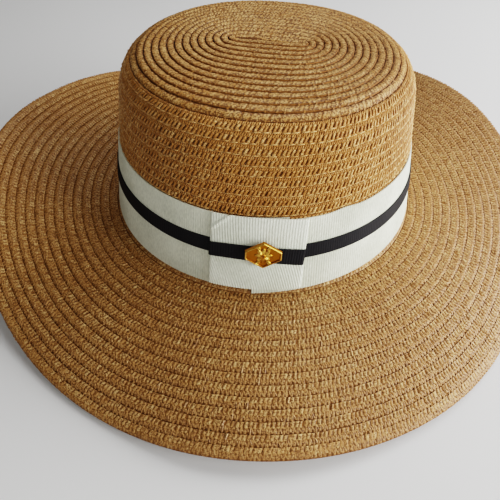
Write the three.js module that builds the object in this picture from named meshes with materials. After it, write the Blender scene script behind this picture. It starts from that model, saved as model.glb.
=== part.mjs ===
// Straw boater hat: a flat-topped crown and a waved brim sewn from rows of braid,
// with a striped ribbon band, a ribbon tab and a small gilt badge.
// Millimetres, +Z up. The tab and the badge face -Y.
import * as THREE from "three";

const degrees = THREE.MathUtils.degToRad;

// Crown, measured on the outside of the straw from the foot of the wall.
const baseRadius = 90;
const crownHeight = 88.5;
const wallLean = degrees(10);
const shoulderRadius = 20;
const tipDome = 2.6;
const tipFlat = 14;

// The braid starts as a straight slit, and its oval becomes round towards the foot,
// where the wall is a little narrower across than from front to back.
const slitHalf = 17;
const slitTurn = degrees(-9.3);
const slitRound = 0.35;
const footPinch = 2;

// Straw rows: each row's outer edge lies over the start of the next one.
const strawWall = 2.1;
const braidPitch = 4.9;
const rowStep = 0.7;
const rowLift = 0.8;

// Brim.
const brimWidth = 81.5;
const brimRows = 15;
const collarRadius = 2;
const edgeRoll = 1;

// Heights of the brim over the foot of its collar, half way out and at the edge.
// The front left, the front right and the back dip to about one level and carry the hat at rest.
const brimWave = [
  { direction: 0, half: -1, edge: -5 },
  { direction: 30, half: 8, edge: 17 },
  { direction: 60, half: 2.5, edge: 10 },
  { direction: 90, half: -8, edge: -24 },
  { direction: 120, half: -1, edge: 2 },
  { direction: 150, half: 8.5, edge: 18.5 },
  { direction: 180, half: 8, edge: 21 },
  { direction: 210, half: -6, edge: -17 },
  { direction: 240, half: -9, edge: -26 },
  { direction: 270, half: -5.5, edge: -20 },
  { direction: 300, half: -7, edge: -24 },
  { direction: 330, half: -9, edge: -26 },
];

// Ribbons. Heights run up the leaning wall from its foot.
const seatGap = 0.3;
const ribbonThickness = 1;
const stripeThickness = 0.7;
const bandTop = 41.5;
const stripeCentre = 24.5;
const stripeHeight = 7.6;
const tab = { width: 44.3, height: 41.6, along: -3, up: 22.6, turn: 0, flare: 3.3 };
const tabStripe = { width: 45.1, height: 8.3, along: -3.6, up: 22.9, turn: degrees(-3.2), flare: 0 };

// Badge: a long hexagon with a raised rim round a leafy rosette.
const badge = { width: 17.8, height: 14.5, sideHeight: 4.2, along: -1, up: 25, turn: degrees(-1.5) };
const badgeLevels = { plate: 0.9, rim: 1.9, dish: 1.1 };
const rimShares = { outside: 0.96, inside: 0.9 };
const faceShares = [0.85, 0.72, 0.6, 0.48, 0.36, 0.24, 0.12];
const rosette = { petals: 8, radius: 3.4, waist: 0.62, lift: 0.8, budRadius: 1, budLift: 0.15 };
const leaf = { across: 2.4, up: 4, lean: degrees(52), length: 2.1, width: 0.95, lift: 0.55 };

const segments = 48;
const tabColumns = 10;
const badgeSpokes = 48;

const strawColour = 0xb08a52;
const ribbonColour = 0xf1efe6;
const stripeColour = 0x15161c;
const giltColour = 0xc9962e;

// Crown section

// The wall's foot is at radius baseRadius, and its upper end runs into the shoulder.
const shoulderZ = crownHeight - tipDome - shoulderRadius;
const tipRadius = baseRadius - shoulderZ * Math.tan(wallLean) - shoulderRadius;
const domeSlope = Math.atan((2 * tipDome) / tipRadius);

// Section points from the centre of the tip to the foot, each with its outward normal.
function crownSection() {
  const points = [];
  const add = (radius, z, tilt) => points.push({ radius, z, tilt });
  const domeSteps = 30;
  for (let i = 0; i <= domeSteps; i++) {
    const share = i / domeSteps;
    add(tipRadius * share, crownHeight - tipDome * share * share, domeSlope * share);
  }
  const arcSteps = 24;
  const lastTilt = Math.PI / 2 - wallLean;
  const centreRadius = tipRadius - shoulderRadius * Math.sin(domeSlope);
  const centreZ = crownHeight - tipDome - shoulderRadius * Math.cos(domeSlope);
  for (let i = 1; i <= arcSteps; i++) {
    const tilt = domeSlope + ((lastTilt - domeSlope) * i) / arcSteps;
    add(centreRadius + shoulderRadius * Math.sin(tilt), centreZ + shoulderRadius * Math.cos(tilt), tilt);
  }
  add(baseRadius, 0, lastTilt);
  let length = 0;
  points.forEach((point, i) => {
    const last = points[Math.max(0, i - 1)];
    length += Math.hypot(point.radius - last.radius, point.z - last.z);
    point.length = length;
  });
  return points;
}

const section = crownSection();
const sectionLength = section[section.length - 1].length;

// Section point at a length from the centre of the tip.
function sectionAt(length) {
  let i = 1;
  while (i < section.length - 1 && section[i].length < length) i++;
  const a = section[i - 1];
  const b = section[i];
  const share = (length - a.length) / (b.length - a.length);
  const mix = (key) => a[key] + (b[key] - a[key]) * share;
  return { radius: mix("radius"), z: mix("z"), tilt: mix("tilt") };
}

// Plan outline

// Half length of the straight part of the oval at a section radius.
const ovalHalf = (radius) => slitHalf * (1 - radius / baseRadius);

// Point of the plan outline that lies `offset` outside the oval of a section radius.
function planPoint(radius, offset, angle, z) {
  const own = angle - slitTurn;
  const core = ovalHalf(radius) * Math.tanh(Math.cos(own) / slitRound);
  const pinch = (footPinch * radius) / baseRadius;
  const reach = radius + offset;
  const x = core + (reach - pinch) * Math.cos(own);
  const y = reach * Math.sin(own);
  const cos = Math.cos(slitTurn);
  const sin = Math.sin(slitTurn);
  return new THREE.Vector3(x * cos - y * sin, x * sin + y * cos, z);
}

// Point of the crown at a section length, lifted along the straw's outward normal.
function crownPoint(length, lift, angle) {
  const at = sectionAt(length);
  return planPoint(at.radius, lift * Math.sin(at.tilt), angle, at.z + lift * Math.cos(at.tilt));
}

const ringAngle = (i) => (2 * Math.PI * i) / segments - Math.PI / 2;
const ring = (pointAt) => Array.from({ length: segments }, (_, i) => pointAt(ringAngle(i)));

// Solids

// Closed solid from rings of equal count. The loop of rings closes on itself,
// or its first and last rings are filled with flat fans.
function loft(rings, closed) {
  const count = rings[0].length;
  const positions = rings.flat().flatMap((point) => point.toArray());
  const index = [];
  const bands = closed ? rings.length : rings.length - 1;
  for (let r = 0; r < bands; r++) {
    const a = r * count;
    const b = ((r + 1) % rings.length) * count;
    for (let i = 0; i < count; i++) {
      const j = (i + 1) % count;
      index.push(a + i, b + i, b + j, a + i, b + j, a + j);
    }
  }
  const fan = (points, start, forward) => {
    const centre = points.reduce((sum, point) => sum.add(point), new THREE.Vector3());
    centre.divideScalar(count);
    const middle = positions.push(...centre.toArray()) / 3 - 1;
    for (let i = 0; i < count; i++) {
      const j = (i + 1) % count;
      index.push(middle, start + (forward ? i : j), start + (forward ? j : i));
    }
  };
  if (!closed) {
    fan(rings[0], 0, true);
    fan(rings[rings.length - 1], (rings.length - 1) * count, false);
  }
  const geometry = new THREE.BufferGeometry();
  geometry.setAttribute("position", new THREE.Float32BufferAttribute(positions, 3));
  geometry.setIndex(index);
  return geometry;
}

function piece(name, geometry, color, roughness, metalness = 0) {
  const material = new THREE.MeshStandardMaterial({ color, roughness, metalness });
  const mesh = new THREE.Mesh(geometry, material);
  mesh.name = name;
  return mesh;
}

// Straw

const bandLength = sectionLength - bandTop;
const seatLength = sectionLength - seatGap;
const shoulderStart = section.find((point) => point.radius >= tipRadius).length;
const shoulderEnd = section[section.length - 2].length;

// The tip and the side meet at the first row edge below the shoulder.
const seamRow = Math.ceil(shoulderEnd / braidPitch);
const tipEnd = seamRow * braidPitch - seatGap / 2;
const sideStart = seamRow * braidPitch + seatGap / 2;

const outsideRing = (length, lift = 0) => ring((angle) => crownPoint(length, lift, angle));
const insideRing = (length) => outsideRing(length, -strawWall);

// Outside rings of some rows: a row rises to its outer edge, then steps down to the next row.
function rowRings(firstRow, lastRow) {
  const rings = [];
  for (let row = firstRow; row <= lastRow; row++) {
    const edge = row * braidPitch;
    rings.push(outsideRing(edge - rowStep, rowLift), outsideRing(edge));
  }
  return rings;
}

// Flat oval middle, domed rows and rounded shoulder.
function crownTipGeometry() {
  const flatRing = (z) => ring((angle) => planPoint(tipFlat, 0, angle, z));
  const firstRow = Math.ceil(tipFlat / braidPitch) + 1;
  const rings = [flatRing(crownHeight), ...rowRings(firstRow, seamRow - 1)];
  rings.push(outsideRing(seamRow * braidPitch - rowStep, rowLift), outsideRing(tipEnd), insideRing(tipEnd));
  const shoulderSteps = 4;
  for (let i = 0; i <= shoulderSteps; i++) {
    rings.push(insideRing(shoulderEnd + ((shoulderStart - shoulderEnd) * i) / shoulderSteps));
  }
  rings.push(insideRing((shoulderStart + tipFlat) / 2), flatRing(crownHeight - strawWall));
  return loft(rings, false);
}

// Leaning wall from the shoulder to the foot, plain where the band covers it.
function crownSideGeometry() {
  const lastRow = Math.floor((bandLength - rowStep) / braidPitch);
  const rings = [outsideRing(sideStart), ...rowRings(seamRow + 1, lastRow)];
  rings.push(outsideRing(bandLength), outsideRing(seatLength));
  const foot = sectionAt(seatLength);
  rings.push(ring((angle) => planPoint(foot.radius, -strawWall, angle, foot.z)));
  rings.push(insideRing((seatLength + sideStart) / 2), insideRing(sideStart));
  return loft(rings, true);
}

// Wave value at an angle, by a closed cubic through the table.
function waveAt(key, angle) {
  const count = brimWave.length;
  const place = THREE.MathUtils.euclideanModulo(angle / (2 * Math.PI), 1) * count;
  const i = Math.floor(place);
  const t = place - i;
  const value = (k) => brimWave[(i + k + count) % count][key];
  const [a, b, c, d] = [value(-1), value(0), value(1), value(2)];
  const cubic = (2 * a - 5 * b + 4 * c - d) * t * t + (3 * b - a - 3 * c + d) * t * t * t;
  return 0.5 * (2 * b + (c - a) * t + cubic);
}

// The brim's upper face at an angle, as points of reach and height along the straw.
function brimSection(angle) {
  const half = waveAt("half", angle);
  const edge = waveAt("edge", angle);
  const steps = 60;
  const steepest = 0.9;
  const points = [{ reach: collarRadius, z: -collarRadius, slope: 0 }];
  const height = (share) => (4 * half - edge) * share + 2 * (edge - 2 * half) * share * share;
  const run = (brimWidth - collarRadius) / steps;
  for (let i = 1; i <= steps; i++) {
    const rise = height(i / steps) - height((i - 1) / steps);
    const last = points[i - 1];
    const slope = Math.asin(THREE.MathUtils.clamp(rise / run, -steepest, steepest));
    points.push({ reach: last.reach + run * Math.cos(slope), z: last.z + rise, slope });
  }
  points[0].slope = points[1].slope;
  return points;
}

const brimSections = new Map();

// Point of the brim at a share of its width, lifted off the upper face along its normal.
function brimPoint(share, lift, angle, past = 0) {
  if (!brimSections.has(angle)) brimSections.set(angle, brimSection(angle));
  const points = brimSections.get(angle);
  const place = share * (points.length - 1);
  const i = Math.min(Math.floor(place), points.length - 2);
  const mix = (key) => points[i][key] + (points[i + 1][key] - points[i][key]) * (place - i);
  const slope = mix("slope");
  const reach = mix("reach") - lift * Math.sin(slope) + past * Math.cos(slope);
  const z = mix("z") + lift * Math.cos(slope) + past * Math.sin(slope);
  return planPoint(baseRadius, reach, angle, z);
}

function brimGeometry() {
  const rings = [ring((angle) => planPoint(baseRadius, 0, angle, 0))];
  const collarSteps = 3;
  for (let i = 1; i <= collarSteps; i++) {
    const turn = ((Math.PI / 2) * i) / collarSteps;
    const out = collarRadius * (1 - Math.cos(turn));
    const down = -collarRadius * Math.sin(turn);
    rings.push(ring((angle) => planPoint(baseRadius, out, angle, down)));
  }
  for (let row = 1; row < brimRows; row++) {
    const edge = row / brimRows;
    rings.push(ring((angle) => brimPoint(edge - rowStep / brimWidth, rowLift, angle)));
    rings.push(ring((angle) => brimPoint(edge, 0, angle)));
  }
  rings.push(ring((angle) => brimPoint(1, rowLift / 2, angle)));
  rings.push(ring((angle) => brimPoint(1, -strawWall / 2, angle, edgeRoll)));
  const undersideRows = 7;
  for (let row = undersideRows; row >= 1; row--) {
    rings.push(ring((angle) => brimPoint(row / undersideRows, -strawWall, angle)));
  }
  const foot = -collarRadius - strawWall;
  rings.push(ring((angle) => planPoint(baseRadius, collarRadius, angle, foot)));
  rings.push(ring((angle) => planPoint(baseRadius, -strawWall, angle, -collarRadius)));
  rings.push(ring((angle) => planPoint(baseRadius, -strawWall, angle, 0)));
  return loft(rings, true);
}

// Ribbons

// Point of the crown's wall: along it from the front, up it from its foot, and off it.
function wallPoint(along, up, lift) {
  const { radius } = sectionAt(sectionLength - up);
  return crownPoint(sectionLength - up, lift, along / radius - Math.PI / 2);
}

// Ribbon that goes all the way round the wall.
function hoop(low, high, inner, thickness) {
  const corners = [
    [low, inner],
    [low, inner + thickness],
    [high, inner + thickness],
    [high, inner],
  ];
  const rings = corners.map(([up, lift]) => ring((angle) => crownPoint(sectionLength - up, lift, angle)));
  return loft(rings.reverse(), true);
}

// Flat length of ribbon laid on the wall, turned about its own centre. Its left end flares out downwards.
function patch({ width, height, along, up, turn, flare }, inner, thickness) {
  const corners = [
    [-1, 0],
    [1, 0],
    [1, 1],
    [-1, 1],
  ];
  const rings = [];
  for (let i = 0; i <= tabColumns; i++) {
    const share = i / tabColumns;
    const edges = corners.map(([side, outside]) => {
      const x = width * (share - 0.5) - (flare * (1 - share) * (1 - side)) / 2;
      const y = (side * height) / 2;
      const turnedX = along + x * Math.cos(turn) - y * Math.sin(turn);
      const turnedY = up + x * Math.sin(turn) + y * Math.cos(turn);
      return wallPoint(turnedX, turnedY, inner + outside * thickness);
    });
    rings.push(edges);
  }
  return loft(rings.reverse(), false);
}

// Badge

// Distance from the middle to the outline of the long hexagon in a direction.
function hexagonReach(angle) {
  const x = Math.abs(Math.cos(angle));
  const y = Math.abs(Math.sin(angle));
  const side = badge.width / 2 / Math.max(x, 1e-6);
  const rise = (badge.height - badge.sideHeight) / badge.width;
  const roof = badge.height / 2 / (y + rise * x);
  return Math.min(side, roof);
}

// Height of the face: eight round petals about a bud, with two leaves above and two below.
function badgeRelief(x, y) {
  const far = Math.hypot(x, y);
  const petal = 0.5 + 0.5 * Math.cos(rosette.petals * Math.atan2(y, x));
  const petalReach = rosette.radius * (rosette.waist + (1 - rosette.waist) * petal);
  const bloom = Math.max(0, 1 - (far / petalReach) ** 2);
  const bud = far < rosette.budRadius ? rosette.budLift : 0;
  const leafX = Math.abs(x) - leaf.across;
  const leafY = Math.abs(y) - leaf.up;
  const stem = (leafX * Math.cos(leaf.lean) + leafY * Math.sin(leaf.lean)) / leaf.length;
  const side = (leafY * Math.cos(leaf.lean) - leafX * Math.sin(leaf.lean)) / leaf.width;
  const leafBulge = Math.max(0, 1 - stem * stem - side * side);
  return rosette.lift * Math.sqrt(bloom) + bud + leaf.lift * Math.sqrt(leafBulge);
}

// Ring of the badge at a share of its outline, at the height that a function gives.
function badgeRing(share, heightAt) {
  return Array.from({ length: badgeSpokes }, (_, i) => {
    const angle = (2 * Math.PI * (i + 0.5)) / badgeSpokes;
    const far = hexagonReach(angle) * share;
    const x = far * Math.cos(angle);
    const y = far * Math.sin(angle);
    return new THREE.Vector3(x, y, heightAt(x, y));
  });
}

function badgeGeometry() {
  const rings = [
    badgeRing(1, () => 0),
    badgeRing(1, () => badgeLevels.plate),
    badgeRing(rimShares.outside, () => badgeLevels.rim),
    badgeRing(rimShares.inside, () => badgeLevels.rim),
  ];
  for (const share of faceShares) {
    rings.push(badgeRing(share, (x, y) => badgeLevels.dish + badgeRelief(x, y)));
  }
  return loft(rings.reverse(), false);
}

// Assembly

const bandLift = seatGap;
const stripeLift = bandLift + ribbonThickness + seatGap;
const tabLift = stripeLift + stripeThickness + seatGap;
const tabStripeLift = tabLift + ribbonThickness + seatGap;
const badgeLift = tabStripeLift + stripeThickness + seatGap;

const stripeLow = stripeCentre - stripeHeight / 2;
const stripeHigh = stripeCentre + stripeHeight / 2;

const pieces = new THREE.Group();
pieces.add(piece("crown_tip", crownTipGeometry(), strawColour, 0.8));
pieces.add(piece("crown_side", crownSideGeometry(), strawColour, 0.8));
pieces.add(piece("brim", brimGeometry(), strawColour, 0.8));
pieces.add(piece("band_ribbon", hoop(seatGap, bandTop, bandLift, ribbonThickness), ribbonColour, 0.7));
pieces.add(piece("band_stripe", hoop(stripeLow, stripeHigh, stripeLift, stripeThickness), stripeColour, 0.6));
pieces.add(piece("tab_ribbon", patch(tab, tabLift, ribbonThickness), ribbonColour, 0.7));
pieces.add(piece("tab_stripe", patch(tabStripe, tabStripeLift, stripeThickness), stripeColour, 0.6));

const ornament = piece("badge", badgeGeometry(), giltColour, 0.3, 1);
ornament.position.copy(wallPoint(badge.along, badge.up, badgeLift));
ornament.rotation.set(Math.PI / 2 - wallLean, 0, badge.turn);
pieces.add(ornament);

// The origin lies under the middle of the hat's box, on the level that it rests on.
const bounds = new THREE.Box3().setFromObject(pieces);
const middle = bounds.getCenter(new THREE.Vector3());
pieces.position.set(-middle.x, -middle.y, -bounds.min.z);

const hat = new THREE.Group();
hat.add(pieces);

export default hat;
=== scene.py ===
import math
import bpy
import numpy as np
from mathutils import Matrix, Vector


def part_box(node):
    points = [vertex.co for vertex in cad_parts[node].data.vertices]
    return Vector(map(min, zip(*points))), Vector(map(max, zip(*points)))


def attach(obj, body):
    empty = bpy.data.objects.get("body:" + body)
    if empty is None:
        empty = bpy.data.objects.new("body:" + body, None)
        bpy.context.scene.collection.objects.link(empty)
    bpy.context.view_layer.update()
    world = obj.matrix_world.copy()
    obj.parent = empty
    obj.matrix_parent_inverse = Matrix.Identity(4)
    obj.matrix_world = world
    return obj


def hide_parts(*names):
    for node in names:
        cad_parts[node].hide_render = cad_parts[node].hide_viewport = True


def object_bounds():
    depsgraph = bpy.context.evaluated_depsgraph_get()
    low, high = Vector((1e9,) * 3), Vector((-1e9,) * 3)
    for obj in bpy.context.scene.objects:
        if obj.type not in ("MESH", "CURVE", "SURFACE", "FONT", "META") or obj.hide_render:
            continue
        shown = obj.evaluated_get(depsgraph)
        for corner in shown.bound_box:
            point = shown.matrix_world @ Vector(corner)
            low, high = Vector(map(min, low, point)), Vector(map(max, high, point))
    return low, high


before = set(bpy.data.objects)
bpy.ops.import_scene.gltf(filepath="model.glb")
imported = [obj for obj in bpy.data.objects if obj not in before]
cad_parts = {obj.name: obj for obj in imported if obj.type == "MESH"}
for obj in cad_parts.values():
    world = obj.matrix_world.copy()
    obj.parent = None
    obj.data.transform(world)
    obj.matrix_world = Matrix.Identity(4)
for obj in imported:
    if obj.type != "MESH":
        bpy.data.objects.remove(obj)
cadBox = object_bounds()
mm = 0.001

# the hat's form, as the CAD has it: section, plan and brim wave
crown = {
    "baseRadius": 90 * mm,
    "height": 88.5 * mm,
    "wallLean": math.radians(10),
    "shoulder": 20 * mm,
    "tipDome": 2.6 * mm,
    "slitHalf": 17 * mm,  # half the straight start of the braid
    "slitTurn": math.radians(-9.3),
    "slitRound": 0.35,
    "footPinch": 2 * mm,  # the foot is this much narrower on each side
    "seatGap": 0.3 * mm,
    "wall": 2.1 * mm,
    "bandTop": 41.5 * mm,  # up the wall, where the ribbon ends
}
brim = {
    "width": 81.5 * mm,
    "rows": 15,
    "collar": 2 * mm,
    "steepest": 0.9,
    "wave": [  # direction in degrees, height half way out and at the edge in mm
        {"direction": 0, "half": -1, "edge": -5},
        {"direction": 30, "half": 8, "edge": 17},
        {"direction": 60, "half": 2.5, "edge": 10},
        {"direction": 90, "half": -8, "edge": -24},
        {"direction": 120, "half": -1, "edge": 2},
        {"direction": 150, "half": 8.5, "edge": 18.5},
        {"direction": 180, "half": 8, "edge": 21},
        {"direction": 210, "half": -6, "edge": -17},
        {"direction": 240, "half": -9, "edge": -26},
        {"direction": 270, "half": -5.5, "edge": -20},
        {"direction": 300, "half": -7, "edge": -24},
        {"direction": 330, "half": -9, "edge": -26},
    ],
}
sideLow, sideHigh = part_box("crown_side")
axisX = (sideLow[0] + sideHigh[0]) / 2
axisY = (sideLow[1] + sideHigh[1]) / 2
footZ = sideLow[2] - crown["seatGap"] * math.cos(crown["wallLean"])


def crownSection():
    lean, shoulder, dome = crown["wallLean"], crown["shoulder"], crown["tipDome"]
    shoulderZ = crown["height"] - dome - shoulder
    tipRadius = crown["baseRadius"] - shoulderZ * math.tan(lean) - shoulder
    slope = math.atan(2 * dome / tipRadius)
    tipSteps, shoulderSteps = 30, 24
    share = np.linspace(0, 1, tipSteps + 1)
    turn = np.linspace(slope, math.pi / 2 - lean, shoulderSteps + 1)[1:]
    centreRadius = tipRadius - shoulder * math.sin(slope)
    centreZ = crown["height"] - dome - shoulder * math.cos(slope)
    shoulderRadii = centreRadius + shoulder * np.sin(turn)
    shoulderHeights = centreZ + shoulder * np.cos(turn)
    radius = np.concatenate([tipRadius * share, shoulderRadii, [crown["baseRadius"]]])
    z = np.concatenate([crown["height"] - dome * share**2, shoulderHeights, [0]])
    tilt = np.concatenate([slope * share, turn, [math.pi / 2 - lean]])
    length = np.concatenate([[0], np.cumsum(np.hypot(np.diff(radius), np.diff(z)))])
    return length, radius, z, tilt


sectionLengths, sectionRadii, sectionHeights, sectionTilts = crownSection()
crownLength = sectionLengths[-1]
shoulderEnd = sectionLengths[-2]


def planPoint(radius, offset, angle, z):
    own = angle - crown["slitTurn"]
    half = crown["slitHalf"] * (1 - radius / crown["baseRadius"])
    reach = radius + offset
    pinch = crown["footPinch"] * radius / crown["baseRadius"]
    x = half * np.tanh(np.cos(own) / crown["slitRound"]) + (reach - pinch) * np.cos(own)
    y = reach * np.sin(own)
    cos, sin = math.cos(crown["slitTurn"]), math.sin(crown["slitTurn"])
    return np.stack(np.broadcast_arrays(axisX + x * cos - y * sin, axisY + x * sin + y * cos, footZ + z), -1)


def crownPoint(length, lift, angle):  # length runs from the slit down to the foot of the wall
    radius = np.interp(length, sectionLengths, sectionRadii)
    z = np.interp(length, sectionLengths, sectionHeights)
    tilt = np.interp(length, sectionLengths, sectionTilts)
    below = np.maximum(np.asarray(length) - crownLength, 0)  # past the foot the wall runs on
    radius = radius + below * math.sin(crown["wallLean"])
    z = z - below * math.cos(crown["wallLean"])
    return planPoint(radius, lift * np.sin(tilt), angle, z + lift * np.cos(tilt))


def wallPoint(along, up, lift):  # along the wall from the front, up it from the foot, and off it
    radius = np.interp(crownLength - up, sectionLengths, sectionRadii)
    return crownPoint(crownLength - up, lift, along / radius - math.pi / 2)


def waveAt(key, angle):
    values = np.array([row[key] for row in brim["wave"]], float) * mm
    place = np.mod(angle / (2 * math.pi), 1) * len(values)
    i = np.floor(place).astype(int)
    t = place - i
    a, b, c, d = (values[(i + k) % len(values)] for k in (-1, 0, 1, 2))
    return 0.5 * (2 * b + (c - a) * t + (2 * a - 5 * b + 4 * c - d) * t**2 + (3 * b - a - 3 * c + d) * t**3)


def brimSections(turns=720, steps=60):
    angle = np.arange(turns + 1) * 2 * math.pi / turns
    half, edge = waveAt("half", angle)[:, None], waveAt("edge", angle)[:, None]
    share = np.linspace(0, 1, steps + 1)[None]
    rise = np.diff((4 * half - edge) * share + 2 * (edge - 2 * half) * share**2, axis=1)
    run = (brim["width"] - brim["collar"]) / steps
    slope = np.arcsin(np.clip(rise / run, -brim["steepest"], brim["steepest"]))
    start = np.zeros((turns + 1, 1))
    reach = brim["collar"] + np.concatenate([start, np.cumsum(run * np.cos(slope), 1)], 1)
    z = -brim["collar"] + np.concatenate([start, np.cumsum(rise, 1)], 1)
    return reach, z, np.concatenate([slope[:, :1], slope], 1)


brimReach, brimHeight, brimSlope = brimSections()


def brimPoint(share, lift, angle):
    # share of the width: past 1 it runs on over the edge, and below 0 up the collar
    turns, steps = brimReach.shape[0] - 1, brimReach.shape[1] - 1
    share, lift, angle = np.broadcast_arrays(share, lift, angle)
    past = np.maximum(share - 1, 0) * brim["width"]
    across = np.clip(share, 0, 1) * steps
    around = np.mod(angle / (2 * math.pi), 1) * turns
    i = np.minimum(around.astype(int), turns - 1)
    j = np.minimum(across.astype(int), steps - 1)
    u, v = around - i, across - j

    def mix(table):
        near = table[i, j] * (1 - u) + table[i + 1, j] * u
        far = table[i, j + 1] * (1 - u) + table[i + 1, j + 1] * u
        return near * (1 - v) + far * v

    slope = mix(brimSlope)
    reach = mix(brimReach) - lift * np.sin(slope) + past * np.cos(slope)
    z = mix(brimHeight) + lift * np.cos(slope) + past * np.sin(slope)
    turn = np.maximum(-share, 0) * brim["width"] / brim["collar"]
    collar = share < 0
    reach = np.where(collar, brim["collar"] - (brim["collar"] - lift) * np.sin(turn), reach)
    z = np.where(collar, -(brim["collar"] - lift) * np.cos(turn), z)
    return planPoint(crown["baseRadius"], reach, angle, z)


print("hat form ready: wall length", round(crownLength / mm, 1), "mm, foot at", round(footZ / mm, 1), "mm")


# small helpers for modelling
smoothing = {"strand": 60, "shell": 50, "ribbon": 60, "badge": 40}  # degrees; sharper edges stay crisp


def deselectAll():
    if bpy.context.object and bpy.context.object.mode != "OBJECT":
        bpy.ops.object.mode_set(mode="OBJECT")
    bpy.ops.object.select_all(action="DESELECT")


def pickOnly(piece):
    deselectAll()
    piece.select_set(True)
    bpy.context.view_layer.objects.active = piece


def smoothByAngle(piece, degrees):
    pickOnly(piece)
    bpy.ops.object.shade_smooth_by_angle(angle=math.radians(degrees))


def gridPiece(name, columns, rows, pointAt, closed):
    # a flat grid, rolled on to the hat: pointAt takes column and row numbers
    deselectAll()
    bpy.ops.mesh.primitive_grid_add(x_subdivisions=columns, y_subdivisions=rows, size=1, calc_uvs=True)
    piece = bpy.context.object
    piece.name = piece.data.name = name
    co = np.empty(len(piece.data.vertices) * 3)
    piece.data.vertices.foreach_get("co", co)
    co = co.reshape(-1, 3)
    column = np.rint((co[:, 0] + 0.5) * columns).astype(int)
    row = np.rint((co[:, 1] + 0.5) * rows).astype(int)
    piece.data.vertices.foreach_set("co", pointAt(column, row).ravel())
    piece.data.update()
    bpy.ops.object.mode_set(mode="EDIT")
    bpy.ops.mesh.select_all(action="SELECT")
    if closed:
        bpy.ops.mesh.remove_doubles(threshold=0.002 * mm)
        bpy.ops.mesh.normals_make_consistent(inside=False)
    bpy.ops.object.mode_set(mode="OBJECT")
    return piece


def applyModifier(piece, kind, **settings):
    pickOnly(piece)
    modifier = piece.modifiers.new(kind.title(), kind)
    for key, value in settings.items():
        setattr(modifier, key, value)
    bpy.ops.object.modifier_apply(modifier=modifier.name)


def arrayPiece(name, points, quads, caps, crispFeet, **attributes):
    # many small strands as one joined mesh
    mesh = bpy.data.meshes.new(name)
    mesh.vertices.add(len(points))
    mesh.vertices.foreach_set("co", points.astype(np.float32).ravel())
    corners = np.concatenate([quads.ravel(), caps.ravel()])
    mesh.loops.add(len(corners))
    mesh.loops.foreach_set("vertex_index", corners.astype(np.int32))
    starts = np.concatenate([np.arange(len(quads)) * 4, quads.size + np.arange(len(caps)) * 3])
    mesh.polygons.add(len(starts))
    mesh.polygons.foreach_set("loop_start", starts.astype(np.int32))
    mesh.update(calc_edges=True)
    for key, values in attributes.items():
        layer = mesh.attributes.new(key, "FLOAT", "POINT")
        layer.data.foreach_set("value", values.astype(np.float32))
    piece = bpy.data.objects.new(name, mesh)
    bpy.context.collection.objects.link(piece)
    pickOnly(piece)
    if crispFeet:
        smoothByAngle(piece, smoothing["strand"])
    else:
        bpy.ops.object.shade_smooth()
    return piece


# shader maths: a wire is a node's socket that works like a number
class Wire:
    def __init__(self, tree, socket):
        self.tree = tree
        self.socket = socket

    def make(self, kind, settings, sockets, output=0):
        node = self.tree.nodes.new("ShaderNode" + kind)
        for key, value in settings.items():
            setattr(node, key, value)
        for key, value in sockets.items():
            if isinstance(value, Wire):
                self.tree.links.new(value.socket, node.inputs[key])
            else:
                node.inputs[key].default_value = value
        return Wire(self.tree, node.outputs[output])

    def maths(self, operation, first, second=0.0):
        return self.make("Math", {"operation": operation}, {0: first, 1: second})

    def __add__(self, other):
        return self.maths("ADD", self, other)

    def __sub__(self, other):
        return self.maths("SUBTRACT", self, other)

    def __mul__(self, other):
        return self.maths("MULTIPLY", self, other)

    def __rsub__(self, other):
        return self.maths("SUBTRACT", other, self)

    __radd__ = __add__
    __rmul__ = __mul__

    def power(self, exponent):
        return self.maths("POWER", self, exponent)

    def fraction(self):
        return self.maths("FRACT", self)

    def wave(self):  # 0 to 1, once for each whole number
        return self.maths("SINE", self * (2 * math.pi)) * 0.5 + 0.5

    def ramp(self, low, high):
        sockets = {"Value": self, "From Min": low, "From Max": high}
        return self.make("MapRange", {"interpolation_type": "SMOOTHSTEP"}, sockets)

    def colour(self, first, second):  # this wire is the factor
        return self.make("Mix", {"data_type": "RGBA"}, {0: self, 6: first, 7: second}, 2)

    def noise(self, scale, detail=2.0, roughness=0.5):
        sockets = {"Vector": self, "Scale": scale, "Detail": detail, "Roughness": roughness}
        return self.make("TexNoise", {}, sockets)

    def stretch(self, x, y, z):
        return self.make("VectorMath", {"operation": "MULTIPLY"}, {0: self, 1: (x, y, z)})

    def bump(self, strength, distance):
        return self.make("Bump", {}, {"Height": self, "Strength": strength, "Distance": distance})


def newFinish(name, constants):
    # a material with its constants on the shader's own sockets
    material = bpy.data.materials.new(name)
    material.use_nodes = True
    tree = material.node_tree
    shader = tree.nodes["Principled BSDF"]
    for key, value in constants.items():
        shader.inputs[key].default_value = value
    start = Wire(tree, None)
    place = start.make("TexCoord", {}, {}, "Object")

    def feed(**wires):
        names = {"baseColour": "Base Color", "roughness": "Roughness", "normal": "Normal"}
        for key, wire in wires.items():
            tree.links.new(wire.socket, shader.inputs[names[key]])

    return material, start, place, feed


def give(piece, material):
    piece.data.materials.clear()
    piece.data.materials.append(material)
    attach(piece, "root")


# straw finishes
# gap and deep are painted shade, not the straw's own tones: the dark seen between strands, in slits and in
# grooves
strawColours = {
    "gap": (0.12, 0.042, 0.007, 1),
    "dark": (0.24, 0.088, 0.014, 1),
    "usual": (0.46, 0.208, 0.048, 1),
    "pale": (0.72, 0.45, 0.19, 1),
    "deepShade": (0.065, 0.023, 0.005, 1),
}
# the crown's straw again for the brim, with darker dark and gap tones: painted shade; its gap is painted
# shade as above
shadedBrimColours = {
    "gap": (0.09, 0.034, 0.007, 1),
    "dark": (0.17, 0.069, 0.015, 1),
    "usual": (0.43, 0.216, 0.070, 1),
    "pale": (0.68, 0.45, 0.20, 1),
}
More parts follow.
